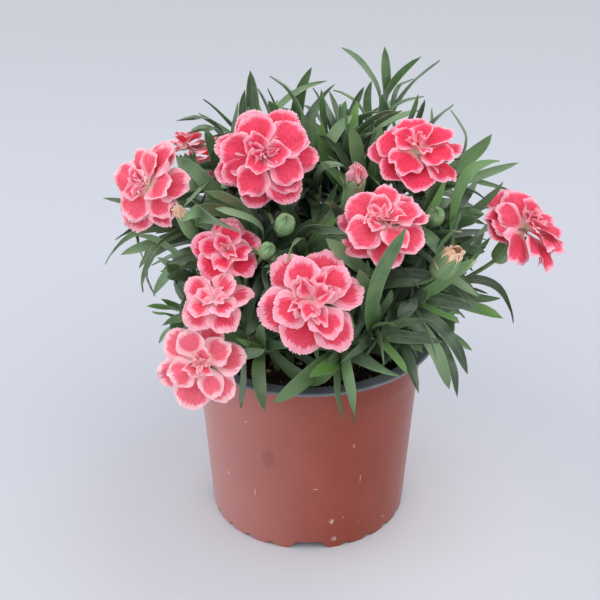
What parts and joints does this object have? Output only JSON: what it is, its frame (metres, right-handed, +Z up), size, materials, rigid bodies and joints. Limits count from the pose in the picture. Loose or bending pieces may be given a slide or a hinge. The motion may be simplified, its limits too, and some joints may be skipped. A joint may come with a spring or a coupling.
{
  "type": "potted dianthus plant",
  "caption": "Bushy flowering dianthus with narrow leaves and double toothed pink blooms, growing in a round tapered nursery pot.",
  "frame": {"origin": "under the middle of the plant's spread, on the surface that the pot stands on", "axes": "+Z up along the pot's axis, -Y towards the front side where most blooms face"},
  "size_m": [0.2024, 0.1872, 0.217],
  "materials": {
    "pot": "satin",
    "soil": "matte",
    "foliage": "matte",
    "petals": "matte"
  },
  "bodies": {
    "root": {"pot": "pot", "soil": "soil", "flower_stem_01": "foliage", "flower_stem_02": "foliage", "flower_stem_03": "foliage", "flower_stem_04": "foliage", "flower_stem_05": "foliage", "flower_stem_06": "foliage", "flower_stem_07": "foliage", "flower_stem_08": "foliage", "flower_stem_09": "foliage", "flower_stem_10": "foliage", "flower_stem_11": "foliage", "flower_stem_12": "foliage", "flower_stem_13": "foliage", "leafy_shoot_01": "foliage", "leafy_shoot_02": "foliage", "leafy_shoot_03": "foliage", "leafy_shoot_04": "foliage", "leafy_shoot_05": "foliage", "leafy_shoot_06": "foliage", "leafy_shoot_07": "foliage", "leafy_shoot_08": "foliage", "leafy_shoot_09": "foliage", "leafy_shoot_10": "foliage", "leafy_shoot_11": "foliage", "leafy_shoot_12": "foliage", "leafy_shoot_13": "foliage", "leafy_shoot_14": "foliage", "leafy_shoot_15": "foliage", "leafy_shoot_16": "foliage", "leafy_shoot_17": "foliage", "leafy_shoot_18": "foliage", "leafy_shoot_19": "foliage", "leafy_shoot_20": "foliage", "leafy_shoot_21": "foliage", "leafy_shoot_22": "foliage", "leafy_shoot_23": "foliage", "leafy_shoot_24": "foliage", "leafy_shoot_25": "foliage", "leafy_shoot_26": "foliage", "leafy_shoot_27": "foliage", "leafy_shoot_28": "foliage", "leafy_shoot_29": "foliage", "leafy_shoot_30": "foliage", "leafy_shoot_31": "foliage", "leafy_shoot_32": "foliage", "bloom_01": "petals", "bloom_02": "petals", "bloom_03": "petals", "bloom_04": "petals", "bloom_05": "petals", "bloom_06": "petals", "bloom_07": "petals", "bloom_08": "petals", "bloom_09": "petals", "bloom_10": "petals", "bloom_11": "petals", "bloom_12": "petals", "bloom_13": "petals"}
  },
  "joints": []
}
